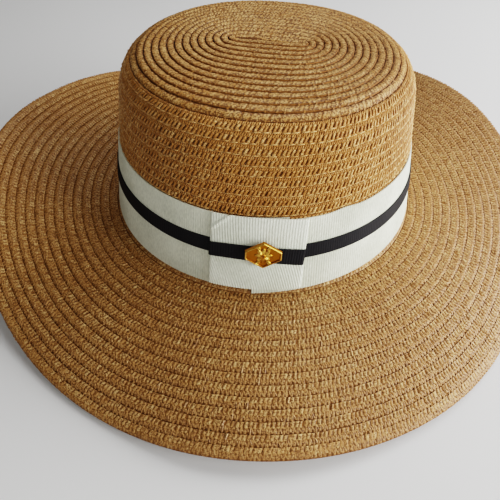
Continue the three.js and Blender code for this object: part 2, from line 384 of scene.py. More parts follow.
# what makes a strand paler, and from where to where that shows
# ridge is a painted highlight along each strand's crest, crease painted shade along its folds
strandLook = {
    "tone": 0.75, "fibre": 0.6, "patch": 0.35, "crestHighlight": 0.22, "crease": 0.1, "dimmed": 0.38,
    "darkToUsual": (-0.15, 0.5), "usualToPale": (0.45, 1.05), "depthShadeToStrand": (-0.1, 0.5),
    "fibreScale": 1600, "patchScale": 28, "grainScale": 3200, "grainHeight": 0.08 * mm, "grain": 0.35,
    "creases": 1.6, "creaseRange": (0.7, 1), "crestHighlightSharpness": 3, "smoothest": 0.33, "roughening": 0.25,
}


def attributeWire(start, name):
    return start.make("Attribute", {"attribute_name": name}, {}, "Fac")


def strandFinish(name, colours, specks):
    look = strandLook
    material, start, place, feed = newFinish(
        name, {"Sheen Weight": 0.06, "Sheen Tint": (1, 0.9, 0.75, 1), "Specular IOR Level": 0.4})
    tone, depth, side = (attributeWire(start, key) for key in ("tone", "depth", "side"))
    fibre = place.noise(look["fibreScale"], 3, 0.6)
    patch = place.noise(look["patchScale"])
    speck = place.noise(specks["scale"]).ramp(*specks["range"])
    # painted shade along the folds of the paper on each strand, and a painted highlight: a thin pale line
    # along its crest
    crease = (side * look["creases"]).wave().ramp(*look["creaseRange"])
    crestHighlight = (1 - side.maths("ABSOLUTE", side)).power(look["crestHighlightSharpness"])
    light = tone * look["tone"] + fibre * look["fibre"] + patch * look["patch"] + crestHighlight * look["crestHighlight"]
    light = light - look["dimmed"] - crease * look["crease"]
    strand = light.ramp(*look["darkToUsual"]).colour(colours["dark"], colours["usual"])
    strand = light.ramp(*look["usualToPale"]).colour(strand, colours["pale"])
    strand = (speck * specks["share"]).colour(strand, colours[specks["colour"]])
    # painted shade: a strand darkens towards the gap colour at its low places, by its depth attribute
    feed(
        baseColour=depth.ramp(*look["depthShadeToStrand"]).colour(colours["gap"], strand),
        roughness=fibre * look["roughening"] + look["smoothest"],
        normal=place.noise(look["grainScale"]).bump(look["grain"], look["grainHeight"]),
    )
    return material


tipStrands = strandFinish(
    "tipStrand", strawColours, {"scale": 1250, "range": (0.50, 0.57), "share": 0.85, "colour": "gap"})
sideStrands = strandFinish(
    "sideStrand", strawColours, {"scale": 1350, "range": (0.53, 0.62), "share": 0.5, "colour": "dark"})
brimStrands = strandFinish(
    "brimStrand", shadedBrimColours, {"scale": 1350, "range": (0.50, 0.58), "share": 0.9, "colour": "dark"})
print("straw finish ready")

# the braid: rows that overlap like shingles, each row's outer edge over the next row
braid = {
    "pitch": 4.9 * mm,
    "spacing": 2.04 * mm,  # from stitch to stitch
    "bed": 0.2 * mm,  # the shell lies this far under the row's surface
    "backGroove": 0.25 * mm,
}
# how a row looks in each place; its ladder of slits lies between two shares of its width
# the darkness of the slits and the shade at strands' low places are painted shade
braidKinds = {
    "tip": {
        "lip": 0.42 * mm, "lipPlace": 0.88, "round": 0.8, "groove": 0.8 * mm,
        "ladder": (0.05, 0.95), "slitShade": 0.1, "open": 0, "relief": 0.95, "loose": 0.12,
        "spread": 0.05, "fleck": 0.12, "shade": 1.0, "parts": ("cord", "loop")},
    "wall": {
        "lip": 0.22 * mm, "lipPlace": 0.90, "round": 1.0, "groove": 0,
        "ladder": (0.30, 0.80), "slitShade": 0.8, "open": 0.66, "relief": 0.8, "loose": 0.08,
        "spread": 0.18, "fleck": 0.2, "shade": 0.64, "parts": ("rung", "above", "below", "dash")},
    "tucked": {
        "lip": 0.1 * mm, "lipPlace": 0.90, "round": 1.0, "groove": 0,
        "ladder": (0.2, 0.80), "slitShade": 1.0, "open": 0.5, "relief": 0.3, "loose": 0.08,
        "spread": 0.2, "fleck": 0.2, "shade": 1.0, "parts": ("rung",)},
    "collar": {
        "lip": 0.4 * mm, "lipPlace": 0.90, "round": 1.0, "groove": 0.1 * mm,
        "ladder": (0.46, 0.93), "slitShade": 1.0, "open": 0.5, "relief": 0.8, "loose": 0.08,
        "spread": 0.2, "fleck": 0.2, "shade": 1.0, "parts": ("rung",)},
    "brim": {
        "lip": 0.5 * mm, "lipPlace": 0.74, "round": 0.8, "groove": 0.3 * mm,
        "ladder": (0.10, 0.50), "slitShade": 0.35, "open": 1.15, "relief": 1.15, "loose": 0.10,
        "spread": 0.09, "fleck": 0.14, "shade": 1.0, "parts": ("spoke", "long", "nearFleck", "farFleck")},
    "edge": {
        "lip": 0.5 * mm, "lipPlace": 0.80, "round": 0.7, "groove": 0.1 * mm,
        "ladder": (0.06, 0.46), "slitShade": 0.9, "open": 1.0, "relief": 0.7, "loose": 0.10,
        "spread": 0.12, "fleck": 0.12, "shade": 0.8, "parts": ("spoke", "long", "nearFleck", "farFleck")},
}
tipRows = 14  # rows of smooth cord; those further down have open ladders
seamRow = math.ceil(shoulderEnd / braid["pitch"])
bandRow = int((crownLength - crown["bandTop"]) / braid["pitch"])


def rowRise(kind, across):
    rising = np.clip(across / kind["lipPlace"], 0, 1) ** kind["round"]
    falling = np.clip((1 - across) / (1 - kind["lipPlace"]), 0, 1)
    return kind["lip"] * np.minimum(rising, falling)


def crownRowPoint(row, across, lift, angle):
    return crownPoint((row - 1 + across) * braid["pitch"], lift, angle)


def brimRowPoint(row, across, lift, angle):
    return brimPoint((row - 1 + across) / brim["rows"], lift, angle)


def rowMarks(pointAt, row, across=0.5):
    # angles at even steps along a row, and the row's length
    steps = 1440
    angle = np.linspace(0, 2 * math.pi, steps + 1)
    points = pointAt(row, across, 0.0, angle)
    run = np.concatenate([[0], np.cumsum(np.linalg.norm(np.diff(points, axis=0), axis=1))])
    return angle, run


shellLook = {
    "slant": 0.55, "cordRise": (0.02, 0.2), "cordFall": (0.82, 0.98), "fibreScale": 1500,
    "edge": 0.06,  # how softly slits and grooves end, as a share of the row
    "grooveEnd": (0.06, 0.13), "backHeight": 0.6 * mm, "smoothest": 0.55, "roughening": 0.25,
    "backRung": 0.8, "backFibre": 0.35, "back": (0.1, 0.9), "bare": (0.3, 0.75), "gap": (0.3, 0.9),
}


def shellFinish(name, firstKind, lastKind, switchRow, grooveStart=0.94, grooveShade=1.0, deepestShade="gap"):
    # bare braid: straw outside with painted shade in the slits and grooves, and the braid's own back inside
    look = shellLook
    material, start, place, feed = newFinish(name, {"Sheen Weight": 0.1, "Specular IOR Level": 0.3})
    inside, rowNumber, stitches = (attributeWire(start, key) for key in ("inside", "rowNumber", "stitches"))
    uv = start.make("UVMap", {"uv_map": "UVMap"}, {})
    around = start.make("SeparateXYZ", {}, {"Vector": uv}, "X")
    across = rowNumber.fraction()
    slant = (across - 0.5) * look["slant"]
    rung = (around * stitches + slant).wave()
    cord = across.ramp(*look["cordRise"]) * (1 - across.ramp(*look["cordFall"]))
    fibre = place.noise(look["fibreScale"], 3, 0.6)
    # the braid's back drawn in colour over its bump, its low places darker as painted shade
    backHeight = rung * cord
    back = (backHeight * look["backRung"] + fibre * look["backFibre"]).ramp(*look["back"])
    back = back.colour(strawColours["dark"], strawColours["usual"])
    late = rowNumber.maths("GREATER_THAN", rowNumber, switchRow)
    first, last, slitShade = (late * (b - a) + a for a, b in zip(
        firstKind["ladder"] + (firstKind["slitShade"],), lastKind["ladder"] + (lastKind["slitShade"],)))
    edge = look["edge"]
    # painted shade: the slits and the grooves between rows darken towards the gap colour
    slits = across.ramp(first, first + edge) * (1 - across.ramp(last - edge, last)) * slitShade
    ungrooved = across.ramp(*look["grooveEnd"]) * (1 - across.ramp(grooveStart, grooveStart + edge))
    grooves = (1 - ungrooved) * grooveShade
    bare = fibre.ramp(*look["bare"]).colour(strawColours["dark"], strawColours["usual"])
    dark = slits.maths("MAXIMUM", slits, grooves)
    gap = fibre.ramp(*look["gap"]).colour(strawColours[deepestShade], strawColours["dark"])
    feed(
        baseColour=inside.colour(dark.colour(bare, gap), back),
        roughness=fibre * look["roughening"] + look["smoothest"],
        normal=(backHeight * inside).bump(0.8, look["backHeight"]),
    )
    return material


# shells under the strands
shell = {"aroundCrown": 200, "aroundBrim": 300}


def outsideLines(rows, kind):
    first, last = kind["ladder"]
    lines = []
    start, end, beside = 0.03, 0.95, 0.04  # shares of the row's width
    middle, low = (first + last) / 2, min(last, kind["lipPlace"] - 0.03)
    for row in rows:
        for across in (start, first + beside, middle, low, kind["lipPlace"], end):
            dip = kind["groove"] if across > kind["lipPlace"] or across < beside else 0
            lift = rowRise(kind, across) - braid["bed"] - dip
            lines.append({"row": row - 1 + across, "lift": lift, "inside": 0})
    return lines


def insideLines(first, last, steps, depth):
    # the braid's back, with a shallow groove between the rows
    lines = []
    for place in np.linspace(first, last, steps):
        groove = braid["backGroove"] * (0.5 + 0.5 * math.cos(2 * math.pi * place))
        lines.append({"row": place, "lift": -depth + groove, "inside": 1})
    return lines


def rollShell(name, node, lines, pointOf, around, evenRow, lengthOf, finish):
    # a closed wall: the lines go once round its section
    angle, run = evenRow
    angles = np.interp(np.linspace(0, run[-1], around + 1), run, angle)
    table = {key: np.array([line[key] for line in lines] + [lines[0][key]], float) for key in lines[0]}
    piece = gridPiece(
        name, around, len(lines),
        lambda column, row: pointOf(table["row"][row], table["lift"][row], angles[column % around]),
        True,
    )
    markShell(piece, table, lengthOf)
    smoothByAngle(piece, smoothing["shell"])
    give(piece, finish)
    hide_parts(node)


def markShell(piece, table, lengthOf):
    # each vertex keeps its row, its side and the stitches of its row
    mesh = piece.data
    uv = np.empty(len(mesh.loops) * 2)
    mesh.uv_layers["UVMap"].data.foreach_get("uv", uv)
    loops = np.empty(len(mesh.loops), np.int32)
    mesh.loops.foreach_get("vertex_index", loops)
    line = np.zeros(len(mesh.vertices), int)
    count = len(table["row"]) - 1
    line[loops] = np.rint(uv[1::2] * count).astype(int) % count
    stitches = np.rint(lengthOf(table["row"]) / braid["spacing"])
    for key, values in (("rowNumber", table["row"]), ("inside", table["inside"]), ("stitches", stitches)):
        layer = mesh.attributes.new(key, "FLOAT", "POINT")
        layer.data.foreach_set("value", values[line].astype(np.float32))


def crownRing(row):
    radius = np.interp(row * braid["pitch"], sectionLengths, sectionRadii)
    half = crown["slitHalf"] * (1 - radius / crown["baseRadius"])
    return 2 * math.pi * radius + 4 * half


def brimRing(row):
    return 2 * math.pi * (crown["baseRadius"] + row * brim["width"] / brim["rows"])


def crownLinePoint(row, lift, angle):
    return crownPoint(row * braid["pitch"], lift, angle)


def brimLinePoint(row, lift, angle):
    return brimPoint(row / brim["rows"], lift, angle)


def buildShells():
    evenRow = 8  # its columns lie at even steps
    evenCrown, evenBrim = rowMarks(crownRowPoint, evenRow), rowMarks(brimRowPoint, evenRow)
    gap = 0.03  # half the gap between tip and side, in rows
    tipLines = [
        {"row": 0.05, "lift": -crown["wall"], "inside": 0},
        {"row": 0.04, "lift": -1.2 * mm, "inside": 0},
        {"row": 0.12, "lift": -0.35 * mm, "inside": 0},
    ]
    tipLines += outsideLines(range(1, tipRows + 1), braidKinds["tip"])[2:]
    tipLines += outsideLines(range(tipRows + 1, seamRow + 1), braidKinds["wall"])
    tipLines += [{"row": seamRow - gap, "lift": -crown["wall"] / 2, "inside": 0}]
    tipLines += insideLines(seamRow - gap, 0.1, 2 * seamRow + 1, crown["wall"])
    rollShell(
        "crownTipShell", "crown_tip", tipLines, crownLinePoint, shell["aroundCrown"], evenCrown, crownRing,
        shellFinish("tipStraw", braidKinds["tip"], braidKinds["wall"], tipRows, 0.89, 0.9, "deepShade"))

    footRow = (crownLength - crown["seatGap"]) / braid["pitch"]
    sideLines = [{"row": seamRow + gap, "lift": -crown["wall"] / 2, "inside": 0}]
    sideLines += outsideLines(range(seamRow + 1, bandRow + 1), braidKinds["wall"])
    for row in np.linspace(bandRow + 0.1, footRow, 6):
        sideLines.append({"row": row, "lift": -0.1 * mm, "inside": 0})
    sideLines += insideLines(footRow, seamRow + gap, 26, crown["wall"])
    rollShell(
        "crownSideShell", "crown_side", sideLines, crownLinePoint, shell["aroundCrown"], evenCrown, crownRing,
        shellFinish("sideStraw", braidKinds["wall"], braidKinds["tucked"], bandRow))

    rows = brim["rows"]
    collarRows = brim["collar"] * math.pi / 2 / brim["width"] * rows
    brimLines = []
    for row in np.linspace(-collarRows, -0.05, 4):
        brimLines.append({"row": row, "lift": 0, "inside": 0})
    brimLines += outsideLines(range(1, rows + 1), braidKinds["brim"])
    brimLines.append({"row": rows + 0.1, "lift": -crown["wall"] / 2, "inside": 0})
    brimLines += insideLines(rows - 0.05, 0, 2 * rows + 1, crown["wall"])
    for row in np.linspace(-collarRows / 2, -collarRows, 2):
        brimLines.append({"row": row, "lift": -crown["wall"], "inside": 1})
    rollShell(
        "brimShell", "brim", brimLines, brimLinePoint, shell["aroundBrim"], evenBrim, brimRing,
        shellFinish("brimStraw", braidKinds["brim"], braidKinds["edge"], rows - 1, 0.93, 0.85))


buildShells()
print("straw shells rolled")

# strands: a stitch on the wall has a slanted rung beside a slit, and flat beds above and below; every second
# one has a dash along the row's edge; a stitch on the brim has a spoke, a long strand and flecks, and one on
# the tip a cord
stitch = {
    "rung": {
        "lean": 0.26, "half": 0.53, "waist": 0.095, "crest": 0.30 * mm, "rise": 0.22 * mm,
        "foot": 0.12 * mm, "dip": 0.32 * mm, "stations": 5},
    "bed": {
        "lean": 0.14, "half": 0.29, "waist": 0, "crest": 0.30 * mm, "rise": 0,
        "foot": 0.04 * mm, "dip": 0, "stations": 2},
    "cord": {
        "lean": 0.30, "half": 0.58, "waist": 0, "crest": -0.10 * mm, "rise": 0.36 * mm,
        "foot": -0.32 * mm, "dip": -0.36 * mm, "stations": 5},
    "spoke": {
        "lean": 0.17, "half": 0.54, "waist": 0.08, "crest": 0.25 * mm, "rise": 0.15 * mm,
        "foot": 0.06 * mm, "dip": 0.3 * mm, "stations": 4},
    "long": {
        "lean": 0.10, "half": 0.30, "waist": 0, "crest": 0.22 * mm, "rise": 0.06 * mm,
        "foot": 0, "dip": 0, "stations": 3},
    "fleck": {
        "lean": -0.14, "half": 0.26, "waist": 0, "crest": 0.16 * mm, "rise": 0.14 * mm,
        "foot": 0, "dip": 0, "stations": 3},
    "loop": {
        "lean": 0.05, "half": 0.22, "waist": 0, "crest": 0.02 * mm, "rise": 0.06 * mm,
        "foot": -0.1 * mm, "dip": 0, "stations": 3},
    "dash": {
        "reach": 0.92, "place": 0.89, "half": 0.1, "twist": 0.05, "crest": 0.74 * mm,
        "foot": -0.1 * mm, "stations": 4},
    # painted shade on the strands: at the floor a strand takes the gap colour, and over this depth it turns
    # fully straw
    "depth": 0.50 * mm,  # from the darkest gap to a fully lit strand
    "floor": -0.17 * mm,
}
# along the row, the stitches from one strand to the next and the first one's offset; then how pale a strand
# is, and its scatter over the row's width
strandHabits = {
    "rung": {"step": 1, "offset": 0, "paleness": -0.03, "scatter": 0.015},
    "above": {"step": 0.5, "offset": 0, "paleness": -0.09, "scatter": 0.015},
    "below": {"step": 0.5, "offset": 0, "paleness": -0.09, "scatter": 0.015},
    "spoke": {"step": 1, "offset": 0, "paleness": 0.14, "scatter": 0.015},
    "long": {"step": 1, "offset": 0, "paleness": -0.12, "scatter": 0.02},
    "nearFleck": {"step": 1, "offset": 0.4, "paleness": -0.04, "scatter": 0.04},
    "farFleck": {"step": 1, "offset": 0.6, "paleness": -0.08, "scatter": 0.04},
    "cord": {"step": 1, "offset": 0, "paleness": 0.27, "scatter": 0.03},
    "loop": {"step": 2, "offset": 0.5, "paleness": -0.1, "scatter": 0.05},
    # the dashes are paler loops, made paler still as a painted highlight on the row's edge-lit lower edge
    "dash": {"step": 2, "offset": 0, "paleness": 0.55, "scatter": 0.015},
}
# how far strands differ: the most of a normal draw, height, place off the row, and the depth of a slit
unevenness = {"most": 1.6, "height": 0.16, "lift": 0.03 * mm, "slit": (0.2, 1.2)}


def crossStrand(spec, start, end, openness):
    # a strand across the row, as columns of left foot, crest and right foot; open rows have slits beside it
    share = np.linspace(0, 1, spec["stations"])
    swell = np.sin(math.pi * share)
    along = spec["lean"] * np.cos(math.pi * share)
    half = spec["half"] - openness * spec["waist"] * swell**2
    foot = spec["foot"] - openness * spec["dip"] * swell**2
    return {
        "along": np.stack([along - half, along, along + half], 1),
        "across": np.repeat((start + (end - start) * share)[:, None], 3, 1),
        "lift": np.stack([foot, spec["crest"] + spec["rise"] * swell, foot], 1),
    }


def edgeStrand(spec):
    # a strand along the row's lower edge
    share = np.linspace(0, 1, spec["stations"])
    swell = np.sin(math.pi * (0.1 + 0.8 * share))
    half = spec["half"] * (0.35 + 0.65 * swell)
    across = spec["place"] + spec["twist"] * (share - 0.5)
    foot = np.full_like(share, spec["foot"])
    return {
        "along": np.repeat((spec["reach"] * (1 - 2 * share))[:, None], 3, 1),
        "across": np.stack([across - half, across, across + half], 1),
        "lift": np.stack([foot, spec["crest"] * swell, foot], 1),
    }


def stitchShape(part, kind):
    # one strand of a stitch, from and to a share of the row's width
    if part == "dash":
        return edgeStrand(stitch["dash"])
    first, last = kind["ladder"]
    shape, start, end, openness = {
        "rung": ("rung", first - 0.03, last + 0.04, kind["open"]),
        "above": ("bed", 0.0, first + 0.02, 0),
        "below": ("bed", last - 0.02, 1.05, 0),
        "spoke": ("spoke", first - 0.04, last + 0.04, kind["open"]),
        "long": ("long", last - 0.02, 1.02, 0),
        "nearFleck": ("fleck", last - 0.02, 0.78, 0),
        "farFleck": ("fleck", 0.68, 0.93, 0),
        "cord": ("cord", 0.07, 0.86, 1),
        "loop": ("loop", 0.72, 1.0, 0),
    }[part]
    return crossStrand(stitch[shape], start, end, openness)


def strandFaces(count, stations):
    ring = np.arange(stations - 1)[:, None] * 3 + np.arange(3)[None]
    beside = np.arange(stations - 1)[:, None] * 3 + (np.arange(3)[None] + 1) % 3
    quads = np.stack([ring, ring + 3, beside + 3, beside], -1).reshape(-1, 4)
    last = (stations - 1) * 3
    caps = np.array([[0, 1, 2], [last + 2, last + 1, last]])
    base = np.arange(count)[:, None, None] * stations * 3
    return (base + quads[None]).reshape(-1, 4), (base + caps[None]).reshape(-1, 3)


def sewBraid(name, rows, pointAt, seed, finish, crispFeet=False):
    # rows is a list of row numbers, each with the name of its kind
    random = np.random.default_rng(seed)
    points, quads, caps, tones, depthShades, sides = [], [], [], [], [], []
    used = 0
    for row, kindName in rows:
        kind = braidKinds[kindName]
        angle, run = rowMarks(pointAt, row)
        count = max(2 * round(run[-1] / braid["spacing"] / 2), 8)
        start = random.uniform(0, count)
        for part in kind["parts"]:
            shape, habit = stitchShape(part, kind), strandHabits[part]
            number = np.arange(0, count, habit["step"]) + habit["offset"]
            shake = random.normal(0, 1, (6, len(number)))
            shake = np.clip(shake, -unevenness["most"], unevenness["most"])[:, :, None, None]
            along = number[:, None, None] + start + kind["loose"] * habit["step"] * shake[0]
            along = along + shape["along"][None] * (1 + kind["loose"] * shake[1])
            across = shape["across"][None] + habit["scatter"] * shake[2]
            depth = random.uniform(*unevenness["slit"], (len(number), 1, 1))
            profile = np.where(shape["lift"][None] < 0, shape["lift"][None] * depth, shape["lift"][None])
            lift = profile * (1 + unevenness["height"] * shake[3]) + unevenness["lift"] * shake[4]
            lift = kind["relief"] * lift
            place = np.interp(np.mod(along, count) * run[-1] / count, run, angle)
            made = pointAt(row, across, rowRise(kind, across) + lift, place)
            stations = shape["along"].shape[0]
            faces, ends = strandFaces(len(number), stations)
            points.append(made.reshape(-1, 3))
            quads.append(faces + used)
            caps.append(ends + used)
            fleck = kind["fleck"] * random.normal(0, 1, made.shape[:2] + (1,))
            tone = np.clip(0.5 + kind["spread"] * shake[5] + fleck + habit["paleness"], 0, 1)
            tones.append(np.broadcast_to(tone, made.shape[:3]).ravel())
            # painted shade: the strand's low parts darken towards the gap colour, as much as the kind's shade
            high = np.clip((profile - stitch["floor"]) / stitch["depth"], 0, 1)
            depthShades.append((1 - kind["shade"] * (1 - high)).ravel())
            sides.append(np.broadcast_to(np.array([-1.0, 0.0, 1.0]), made.shape[:3]).ravel())
            used += made.shape[0] * stations * 3
    piece = arrayPiece(
        name, np.concatenate(points), np.concatenate(quads), np.concatenate(caps), crispFeet,
        tone=np.concatenate(tones), depth=np.concatenate(depthShades), side=np.concatenate(sides))
    give(piece, finish)
    print(name, "sewn:", 2 * sum(len(q) for q in quads) + sum(len(c) for c in caps), "triangles")


def rowsOf(kindName, first, last):
    return [(row, kindName) for row in range(first, last + 1)]


sewBraid("crownTipBraid", rowsOf("tip", 1, tipRows), crownRowPoint, 11, tipStrands, True)
sewBraid("crownShoulderBraid", rowsOf("wall", tipRows + 1, seamRow), crownRowPoint, 13, sideStrands)
sewBraid(
    "crownSideBraid", rowsOf("wall", seamRow + 1, bandRow) + rowsOf("tucked", bandRow + 1, bandRow + 1),
    crownRowPoint, 12, sideStrands)
sewBraid("brimBraidInner", rowsOf("collar", 0, 0) + rowsOf("brim", 1, 5), brimRowPoint, 21, brimStrands, True)
sewBraid("brimBraidMiddle", rowsOf("brim", 6, 10), brimRowPoint, 26, brimStrands, True)
lastRow = brim["rows"]
sewBraid(
    "brimBraidOuter", rowsOf("brim", 11, lastRow - 1) + rowsOf("edge", lastRow, lastRow),
    brimRowPoint, 31, brimStrands, True)

# loose threads along the slit where the braid starts, in mm: from and to along it, place and swing beside it,
# half the width, height, and paleness from 0 to 1
slitThreads = [
    {"from": -17, "to": -6, "aside": -0.5, "swing": 0.5, "half": 0.42, "lift": 0.55, "tone": 0.0},
    {"from": -15, "to": -3, "aside": 0.35, "swing": -0.6, "half": 0.36, "lift": 0.6, "tone": 0.05},
    {"from": -12, "to": -7, "aside": 0.9, "swing": 0.4, "half": 0.3, "lift": 0.55, "tone": 0.0},
    {"from": -6, "to": 17, "aside": 0.2, "swing": 0.35, "half": 0.6, "lift": 0.4, "tone": 0.75},
]


def laySlitThreads():
    stations, thinnest = 9, 0.35
    share = np.linspace(0, 1, stations)[:, None]
    cos, sin = math.cos(crown["slitTurn"]), math.sin(crown["slitTurn"])
    top = footZ + crown["height"]
    points = []
    for thread in slitThreads:
        run = thread["from"] + (thread["to"] - thread["from"]) * share
        taper = thinnest + (1 - thinnest) * np.sin(math.pi * share)
        side = np.array([[1.0, 0.0, -1.0]]) * thread["half"] * taper
        aside = thread["aside"] + thread["swing"] * np.sin(2 * math.pi * share) + side
        lift = np.array([[-0.3, 1.0, -0.3]]) * thread["lift"] * taper
        x, y, z = (np.broadcast_to(value, (stations, 3)) * mm for value in (run, aside, lift))
        points.append(np.stack([axisX + x * cos - y * sin, axisY + x * sin + y * cos, top + z], -1))
    quads, caps = strandFaces(len(points), stations)
    tones = np.repeat([thread["tone"] for thread in slitThreads], stations * 3)
    sides = np.tile([-1.0, 0.0, 1.0], len(points) * stations)
    # the dark threads get a low depth and so the gap colour: real threads darkened with painted shade for the
    # slit
    piece = arrayPiece(
        "slitThreads", np.concatenate(points).reshape(-1, 3), quads, caps, True,
        tone=tones, depth=0.1 + 0.9 * (tones > 0.5), side=sides)
    give(piece, tipStrands)


laySlitThreads()
print("slit threads laid")

# ribbons
ribbon = {"thickness": 0.55 * mm, "rib": 1.27 * mm, "ribHeight": 0.10 * mm}
ribbonLook = {
    "threadScale": 1500, "threadLength": 0.3, "soilScale": 45, "threads": 0.45, "soil": 0.55,
    "darkToLight": (0.25, 0.75), "smoothest": 0.5, "roughening": 0.2, "threadHeight": 0.06 * mm,
}


def ribbonFinish(name, dark, light, constants):
    look = ribbonLook
    material, _, place, feed = newFinish(name, constants)
    fine = place.stretch(1, 1, look["threadLength"]).noise(look["threadScale"])
    soil = place.noise(look["soilScale"], 3)
    shade = (fine * look["threads"] + soil * look["soil"]).ramp(*look["darkToLight"])
    feed(
        baseColour=shade.colour(dark, light),
        roughness=fine * look["roughening"] + look["smoothest"],
        normal=fine.bump(0.3, look["threadHeight"]),
    )
    return material


clothSurface = {"Sheen Weight": 0.12, "Specular IOR Level": 0.35}
whiteRibbon = ribbonFinish("ribbonWhite", (0.57, 0.59, 0.47, 1), (0.88, 0.90, 0.75, 1), clothSurface)
# the tab is the band's own ribbon, painted paler as painted light where it gets less light
litTabWhite = ribbonFinish("ribbonTabPaintedLit", (0.66, 0.69, 0.56, 1), (0.95, 0.98, 0.85, 1), clothSurface)
blackRibbon = ribbonFinish(
    "ribbonBlack", (0.008, 0.008, 0.0105, 1), (0.017, 0.017, 0.020, 1), {"Specular IOR Level": 0.25})

band = {
    "start": -5.5 * mm,  # along the wall, where the upper end is cut
    "overlap": 16 * mm,
    "low": 0.3 * mm,
    "endDrop": 2.2 * mm,  # the upper end lies lower than the rest
    "lift": 0.95 * mm,
    "endLift": 0.75 * mm,
    "settle": 30 * mm,
    "inset": 5 * mm,  # off the foot's radius, for the band's mean girth
    "kink": 45 * mm,  # along the band
    "kinkHeight": 1.1 * mm,
    "kinkRun": 7 * mm,
    "rise": 1.6 * mm,  # of the upper edge, once round
    "riseStart": 0.3,
    "sway": 0.2 * mm,
    "swayRun": 31 * mm,
    "ripple": 0.12 * mm,
    "rippleRun": 11 * mm,
    "bulge": 0.12 * mm,
    "bulgeRun": 17 * mm,
    "columnsPerRib": 4,
    "rows": 9,
}
bandStripe = {
    "centre": 23.9 * mm, "height": 7.8 * mm, "lift": 1.58 * mm, "rows": 5, "columnsPerRib": 3,
    "endDrop": 1.3 * mm, "endRun": 120 * mm, "sway": 0.3 * mm, "swayRun": 43 * mm,
    "bandShare": 0.58,  # of the band's height, where the stripe lies
}


def ribs(along):
    return ribbon["ribHeight"] * np.cos(2 * math.pi * along / ribbon["rib"])


def ribbonPiece(name, node, columns, rows, pointAt, material):
    piece = gridPiece(name, columns, rows, pointAt, False)
    applyModifier(piece, "SOLIDIFY", thickness=ribbon["thickness"], offset=-1)
    smoothByAngle(piece, smoothing["ribbon"])
    give(piece, material)
    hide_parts(node)
    return piece


def wrapRibbon(name, node, spec, edges, liftAt, material):
    # a ribbon round the wall with its ends overlapped under the tab
    radius = crown["baseRadius"] - band["inset"]
    length = 2 * math.pi * radius + band["overlap"]
    columns = int(length / ribbon["rib"]) * spec["columnsPerRib"]
    along = np.linspace(0, length, columns + 1)
    low, high = edges(along)

    def pointAt(column, row):
        run = along[column]
        share = row / spec["rows"]
        up = low[column] + (high[column] - low[column]) * share
        angle = (band["start"] + run) / radius - math.pi / 2
        return crownPoint(crownLength - up, liftAt(run, share) + ribs(run), angle)

    piece = ribbonPiece(name, node, columns, spec["rows"], pointAt, material)
    return piece, (float(np.mean(high - low)), float(length))


def settle(run):
    return np.clip(1 - run / band["settle"], 0, 1) ** 2


def bandEdges(run):
    # the upper end hangs lower than the other one, with a kink a little way round
    sway = band["sway"] * np.sin(run / band["swayRun"]) + band["ripple"] * np.sin(run / band["rippleRun"] + 1)
    kink = band["kinkHeight"] * np.exp(-(((run - band["kink"]) / band["kinkRun"]) ** 2))
    rise = band["rise"] * (run / run[-1] - band["riseStart"])
    return band["low"] - band["endDrop"] * settle(run / 2), crown["bandTop"] + rise + sway + kink


def bandLift(run, share):
    bulge = band["bulge"] * np.sin(run / band["bulgeRun"] + 3 * share)
    return band["lift"] + band["endLift"] * settle(run) + bulge


def stripeEdges(run):
    centre = bandStripe["centre"] + bandStripe["sway"] * np.sin(run / bandStripe["swayRun"] + 2)
    centre = centre - bandStripe["endDrop"] * np.exp(-run / bandStripe["endRun"])
    return centre - bandStripe["height"] / 2, centre + bandStripe["height"] / 2


def stripeLift(run, share):
    return bandLift(run, bandStripe["bandShare"]) + bandStripe["lift"] - band["lift"]


bandRibbon, bandFlat = wrapRibbon(
    "bandRibbon", "band_ribbon", band, bandEdges, bandLift, whiteRibbon)
stripeRibbon, _ = wrapRibbon(
    "bandStripe", "band_stripe", bandStripe, stripeEdges, stripeLift, blackRibbon)
print("band wrapped, flat", [round(size / mm, 1) for size in bandFlat], "mm")

# the tab over the band's joined ends
tab = {
    "width": 44.3 * mm, "height": 41.6 * mm, "along": -3 * mm, "up": 22.6 * mm, "turn": 0,
    "flare": 3.3 * mm, "topDrop": 1.7 * mm, "bend": 0, "taper": 0, "lift": 2.9 * mm,
    "rows": 80, "columnsPerRib": 5, "edgeDrop": 0.9 * mm, "edgeRun": 1.6 * mm,
}
tabStripe = {
    "width": 45.9 * mm, "height": 8.3 * mm, "along": -4 * mm, "up": 22.9 * mm, "turn": math.radians(-3.2),
    "flare": 0, "topDrop": 0, "bend": 1.9 * mm, "taper": 0.07, "lift": 3.78 * mm,
    "rows": 8, "columnsPerRib": 4, "edgeDrop": 0.9 * mm, "edgeRun": 1.6 * mm,
}
tabCloth = {
    "wander": 0.35 * mm, "wanderRun": 9 * mm, "waver": 0.25 * mm, "waverRun": (7 * mm, 13 * mm),
    "swell": 0.25 * mm, "swellRun": (8 * mm, 15 * mm),
    "cornerX": -23 * mm, "cornerY": 22.25 * mm, "foldOff": 11 * mm,  # a fold across the top left corner
    "foldHeight": 0.6 * mm, "foldWidth": 1.2 * mm,
    "lowSlant": 0.28, "lowRibs": 1.6,  # below the middle the ribs lean and stand higher
}


